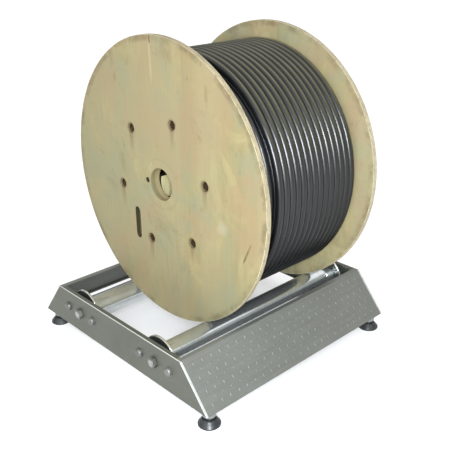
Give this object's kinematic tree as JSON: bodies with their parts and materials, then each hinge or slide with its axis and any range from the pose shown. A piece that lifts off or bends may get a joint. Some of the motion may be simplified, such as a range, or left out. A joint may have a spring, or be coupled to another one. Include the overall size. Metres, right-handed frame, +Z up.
{
  "type": "cable drum roller stand",
  "caption": "Low roller stand for unwinding cable, with a plywood drum of black cable resting on polished steel rollers, folded sheet sides and levelling feet.",
  "frame": {"origin": "on the floor, midway between the feet, under the middle of the frame", "axes": "+Z up, +Y along the drum's and rollers' axes towards the far end, +X towards the side the cable is pulled from"},
  "size_m": [0.8, 0.754, 0.9113],
  "materials": {
    "smooth_sheet": "satin",
    "tread_sheet": "satin",
    "polished_tube": "mirror",
    "disc_steel": "satin",
    "bearing_steel": "satin",
    "cast_housing": "matte",
    "frame_steel": "satin",
    "black_rubber": "matte",
    "seal_rubber": "matte",
    "plywood": "matte",
    "fibre_barrel": "matte",
    "rusty_steel": "rough",
    "cable_sheath": "gloss"
  },
  "bodies": {
    "frame": {"near_end_plate": "smooth_sheet", "far_end_plate": "smooth_sheet", "front_side_panel": "tread_sheet", "rear_side_panel": "tread_sheet", "front_near_housing": "cast_housing", "front_near_foot_bracket": "frame_steel", "front_far_housing": "cast_housing", "front_far_foot_bracket": "frame_steel", "rear_near_housing": "cast_housing", "rear_near_foot_bracket": "frame_steel", "rear_far_housing": "cast_housing", "rear_far_foot_bracket": "frame_steel", "bearing_outer_rings": "bearing_steel", "bearing_balls": "bearing_steel", "bearing_seals": "seal_rubber", "housing_bolts": "bearing_steel", "housing_washers": "bearing_steel", "housing_nuts": "bearing_steel"},
    "front_roller": {"front_roller_tube": "polished_tube", "front_guide_disc_near": "disc_steel", "front_guide_disc_far": "disc_steel", "front_roller_shaft": "bearing_steel", "front_bearing_inner_rings": "bearing_steel", "front_shaft_circlips": "bearing_steel", "front_shaft_nuts": "bearing_steel"},
    "rear_roller": {"rear_roller_tube": "polished_tube", "rear_guide_disc_near": "disc_steel", "rear_guide_disc_far": "disc_steel", "rear_roller_shaft": "bearing_steel", "rear_bearing_inner_rings": "bearing_steel", "rear_shaft_circlips": "bearing_steel", "rear_shaft_nuts": "bearing_steel"},
    "drum": {"near_flange": "plywood", "far_flange": "plywood", "near_hub_board": "plywood", "far_hub_board": "plywood", "drum_barrel": "fibre_barrel", "spreader_board": "plywood", "tie_rods": "rusty_steel", "tie_rod_washers": "rusty_steel", "tie_rod_nuts": "rusty_steel", "cable_inner_layers": "cable_sheath", "cable_outer_layer": "cable_sheath"},
    "front_near_foot": {"front_near_foot_pad": "black_rubber", "front_near_foot_stem": "bearing_steel", "front_near_foot_adjuster": "frame_steel"},
    "front_far_foot": {"front_far_foot_pad": "black_rubber", "front_far_foot_stem": "bearing_steel", "front_far_foot_adjuster": "frame_steel"},
    "rear_near_foot": {"rear_near_foot_pad": "black_rubber", "rear_near_foot_stem": "bearing_steel", "rear_near_foot_adjuster": "frame_steel"},
    "rear_far_foot": {"rear_far_foot_pad": "black_rubber", "rear_far_foot_stem": "bearing_steel", "rear_far_foot_adjuster": "frame_steel"}
  },
  "joints": [
    {"name": "drum_spin", "type": "hinge", "parent": "frame", "child": "drum", "pos_m": [0, 0.043, 0.51133], "axis": [0, 1, 0], "continuous": true},
    {"name": "front_roller_spin", "type": "hinge", "parent": "frame", "child": "front_roller", "pos_m": [0.177, 0, 0.112], "axis": [0, 1, 0], "continuous": true},
    {"name": "rear_roller_spin", "type": "hinge", "parent": "frame", "child": "rear_roller", "pos_m": [-0.177, 0, 0.112], "axis": [0, 1, 0], "continuous": true},
    {"name": "front_near_foot_level", "type": "slide", "parent": "frame", "child": "front_near_foot", "axis": [0, 0, -1], "range_m": [0, 0.008]},
    {"name": "front_far_foot_level", "type": "slide", "parent": "frame", "child": "front_far_foot", "axis": [0, 0, -1], "range_m": [0, 0.008]},
    {"name": "rear_near_foot_level", "type": "slide", "parent": "frame", "child": "rear_near_foot", "axis": [0, 0, -1], "range_m": [0, 0.008]},
    {"name": "rear_far_foot_level", "type": "slide", "parent": "frame", "child": "rear_far_foot", "axis": [0, 0, -1], "range_m": [0, 0.008]}
  ],
  "couplings": [
    {"joint": "front_roller_spin", "follows": "drum_spin", "ratio": -10.959},
    {"joint": "rear_roller_spin", "follows": "drum_spin", "ratio": -10.959}
  ]
}
